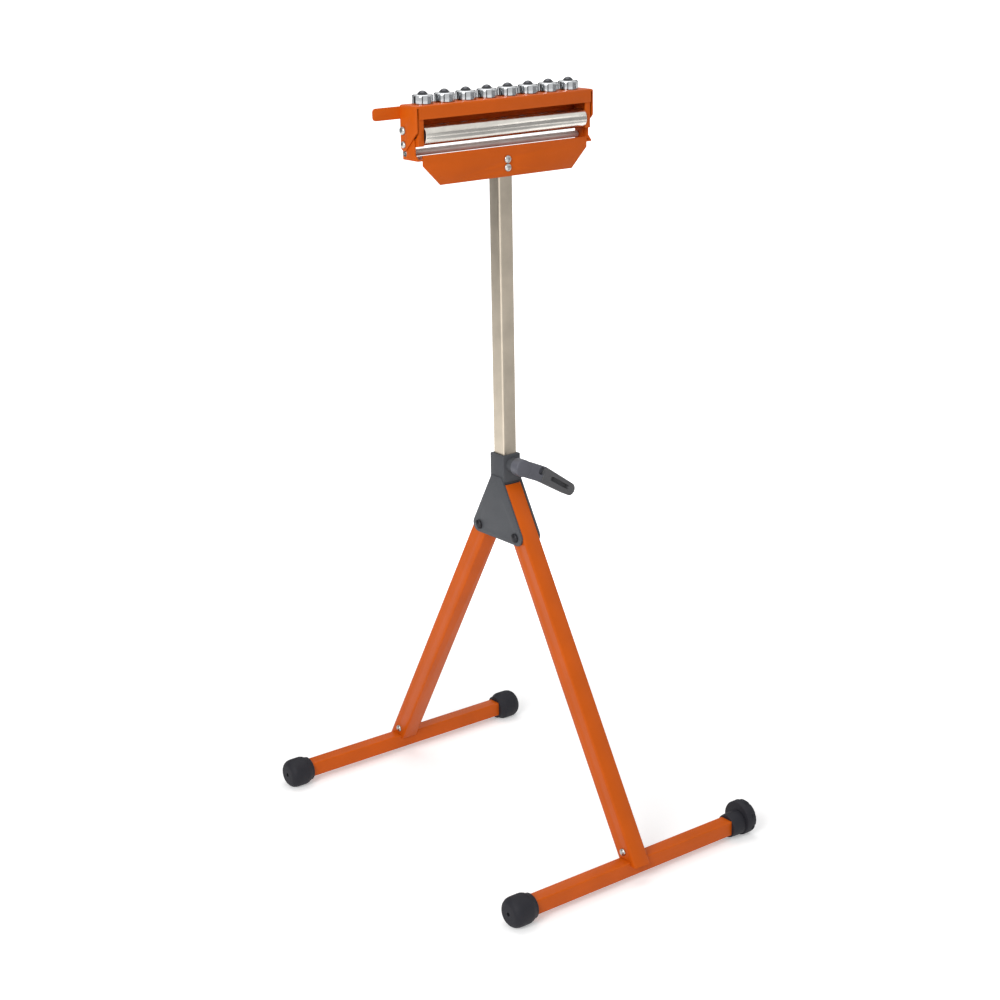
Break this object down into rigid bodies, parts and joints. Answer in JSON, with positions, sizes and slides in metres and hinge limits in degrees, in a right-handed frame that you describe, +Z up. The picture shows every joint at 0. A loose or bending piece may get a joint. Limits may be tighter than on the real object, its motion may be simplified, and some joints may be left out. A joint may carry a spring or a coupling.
{
  "type": "roller stand",
  "caption": "Folding pedestal roller stand: square post in a clamped hub on splayed legs, with a turning head that carries a roller and a row of ball units.",
  "frame": {"origin": "floor level, on the centre line of the post, midway between the foot ends", "axes": "X along the roller and both foot bars, -Y the side the roller faces, +Z up"},
  "size_m": [0.476, 0.643, 1.1549],
  "materials": {
    "orange_paint": "orange powder coat, light orange peel",
    "galvanised_steel": "bright zinc plated square tube",
    "roller_steel": "satin plated roller tube",
    "chromed_steel": "bright chrome plate",
    "zinc_fastener": "bright zinc plate",
    "black_fastener": "black oxide",
    "hub_casting": "dark grey textured coat",
    "lever_casting": "mid grey satin coat on a die casting",
    "grip_plastic": "fine textured moulding",
    "foot_rubber": "moulded rubber",
    "guide_plastic": "moulded nylon"
  },
  "bodies": {
    "hub": {"hub_housing": "hub_casting", "pressure_pad": "guide_plastic", "front_leg_pivot_bolt": "black_fastener", "rear_leg_pivot_bolt": "black_fastener"},
    "front_leg": {"front_leg_tube": "orange_paint", "front_foot_bar": "orange_paint", "front_foot_spigot": "galvanised_steel", "front_leg_bolt": "zinc_fastener", "front_left_cap": "foot_rubber", "levelling_bush": "foot_rubber"},
    "levelling_foot": {"levelling_disc": "foot_rubber", "levelling_screw": "zinc_fastener"},
    "rear_leg": {"rear_leg_tube": "orange_paint", "rear_foot_bar": "orange_paint", "rear_foot_spigot": "galvanised_steel", "rear_leg_bolt": "zinc_fastener", "rear_left_cap": "foot_rubber", "rear_right_cap": "foot_rubber"},
    "post": {"post_tube": "galvanised_steel", "post_plug": "guide_plastic", "post_socket": "orange_paint", "yoke_bracket": "orange_paint", "yoke_bolt_lower": "zinc_fastener", "yoke_bolt_upper": "zinc_fastener", "cross_bar": "chromed_steel", "cross_bar_screw_left": "zinc_fastener", "cross_bar_screw_right": "zinc_fastener"},
    "clamp_lever": {"lever_hub": "lever_casting", "lever_grip": "grip_plastic", "clamp_stud": "zinc_fastener"},
    "head": {"head_cassette": "orange_paint", "roller_bracket_left": "orange_paint", "roller_bracket_right": "orange_paint", "head_pivot_bolt_left": "zinc_fastener", "head_pivot_bolt_right": "zinc_fastener", "detent_screw_left": "zinc_fastener", "detent_screw_right": "zinc_fastener", "roller_axle": "zinc_fastener", "ball_cup_1": "chromed_steel", "ball_cup_2": "chromed_steel", "ball_cup_3": "chromed_steel", "ball_cup_4": "chromed_steel", "ball_cup_5": "chromed_steel", "ball_cup_6": "chromed_steel", "ball_cup_7": "chromed_steel", "ball_cup_8": "chromed_steel"},
    "roller": {"roller_tube": "roller_steel", "roller_end_left": "guide_plastic", "roller_end_right": "guide_plastic", "roller_bearing_left": "zinc_fastener", "roller_bearing_right": "zinc_fastener"},
    "ball_1_body": {"ball_1": "chromed_steel"},
    "ball_2_body": {"ball_2": "chromed_steel"},
    "ball_3_body": {"ball_3": "chromed_steel"},
    "ball_4_body": {"ball_4": "chromed_steel"},
    "ball_5_body": {"ball_5": "chromed_steel"},
    "ball_6_body": {"ball_6": "chromed_steel"},
    "ball_7_body": {"ball_7": "chromed_steel"},
    "ball_8_body": {"ball_8": "chromed_steel"}
  },
  "joints": [
    {"name": "front_leg_fold", "type": "hinge", "parent": "hub", "child": "front_leg", "pos_m": [0, -0.045, 0.478], "axis": [1, 0, 0], "range_deg": [0, 29.5]},
    {"name": "rear_leg_fold", "type": "hinge", "parent": "hub", "child": "rear_leg", "pos_m": [0, 0.045, 0.478], "axis": [-1, 0, 0], "range_deg": [0, 29.5]},
    {"name": "levelling_turn", "type": "hinge", "parent": "front_leg", "child": "levelling_foot", "pos_m": [0.238, -0.298, 0.0225], "axis": [1, 0, 0], "continuous": true},
    {"name": "post_slide", "type": "slide", "parent": "hub", "child": "post", "axis": [0, 0, 1], "range_m": [-0.41, 0]},
    {"name": "clamp_turn", "type": "hinge", "parent": "hub", "child": "clamp_lever", "pos_m": [0, -0.0288, 0.585], "axis": [0, -1, 0], "range_deg": [0, 90]},
    {"name": "head_flip", "type": "hinge", "parent": "post", "child": "head", "pos_m": [0, 0.013, 1.1006], "axis": [1, 0, 0], "range_deg": [-90, 0]},
    {"name": "roller_spin", "type": "hinge", "parent": "head", "child": "roller", "pos_m": [0, -0.008, 1.0946], "axis": [1, 0, 0], "continuous": true},
    {"name": "ball_1_spin", "type": "hinge", "parent": "head", "child": "ball_1_body", "pos_m": [-0.13265, 0.0045, 1.1469], "axis": [1, 0, 0], "continuous": true},
    {"name": "ball_2_spin", "type": "hinge", "parent": "head", "child": "ball_2_body", "pos_m": [-0.09475, 0.0045, 1.1469], "axis": [1, 0, 0], "continuous": true},
    {"name": "ball_3_spin", "type": "hinge", "parent": "head", "child": "ball_3_body", "pos_m": [-0.05685, 0.0045, 1.1469], "axis": [1, 0, 0], "continuous": true},
    {"name": "ball_4_spin", "type": "hinge", "parent": "head", "child": "ball_4_body", "pos_m": [-0.01895, 0.0045, 1.1469], "axis": [1, 0, 0], "continuous": true},
    {"name": "ball_5_spin", "type": "hinge", "parent": "head", "child": "ball_5_body", "pos_m": [0.01895, 0.0045, 1.1469], "axis": [1, 0, 0], "continuous": true},
    {"name": "ball_6_spin", "type": "hinge", "parent": "head", "child": "ball_6_body", "pos_m": [0.05685, 0.0045, 1.1469], "axis": [1, 0, 0], "continuous": true},
    {"name": "ball_7_spin", "type": "hinge", "parent": "head", "child": "ball_7_body", "pos_m": [0.09475, 0.0045, 1.1469], "axis": [1, 0, 0], "continuous": true},
    {"name": "ball_8_spin", "type": "hinge", "parent": "head", "child": "ball_8_body", "pos_m": [0.13265, 0.0045, 1.1469], "axis": [1, 0, 0], "continuous": true}
  ]
}
